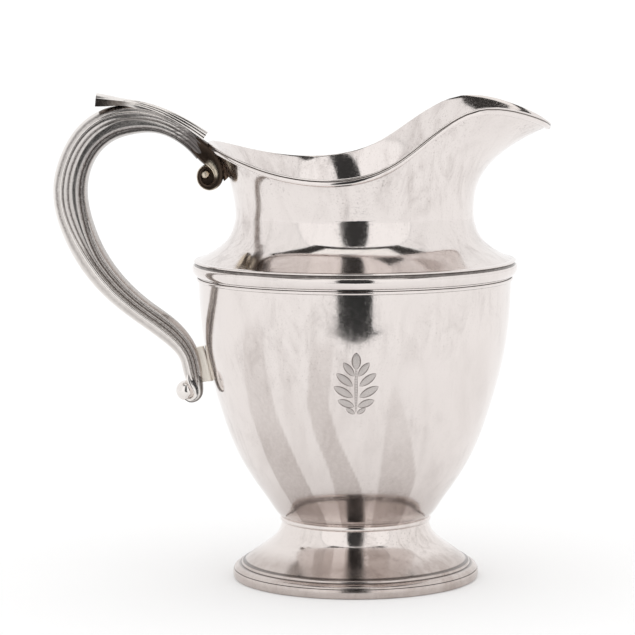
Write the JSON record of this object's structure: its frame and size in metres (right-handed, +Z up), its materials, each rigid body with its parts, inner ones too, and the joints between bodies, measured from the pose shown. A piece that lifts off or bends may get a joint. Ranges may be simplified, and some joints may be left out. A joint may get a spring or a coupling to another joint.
{
  "type": "water pitcher",
  "caption": "Footed silver water pitcher with a helmet-shaped lip, a wide pouring spout, a moulded shoulder and a hollow scroll handle.",
  "frame": {"origin": "centre of the foot's standing face, on the pitcher's own axis", "axes": "+Z up along the pitcher's axis, +X towards the spout, -X towards the handle, +Y across"},
  "size_m": [0.2492, 0.163, 0.2447],
  "materials": {
    "body_silver": "polished silver with fine scratches and light mottled tarnish",
    "moulding_silver": "bright polished silver moulding",
    "foot_silver": "polished silver, a little duller in the hollow of the foot",
    "handle_silver": "polished silver with brown-black tarnish in the grooves",
    "solder_silver": "silver solder, warmer and duller than the sheet"
  },
  "bodies": {
    "root": {"bowl": "body_silver", "neck": "body_silver", "rim_moulding": "moulding_silver", "shoulder_moulding": "moulding_silver", "shoulder_bead": "moulding_silver", "foot_collar": "foot_silver", "foot": "foot_silver", "foot_step_bead": "foot_silver", "foot_border": "foot_silver", "foot_band": "foot_silver", "handle_near_half": "handle_silver", "handle_far_half": "handle_silver", "upper_scroll": "handle_silver", "lower_scroll": "handle_silver", "thumb_leaf": "handle_silver", "upper_strut": "solder_silver", "lower_pad": "solder_silver"}
  },
  "joints": []
}
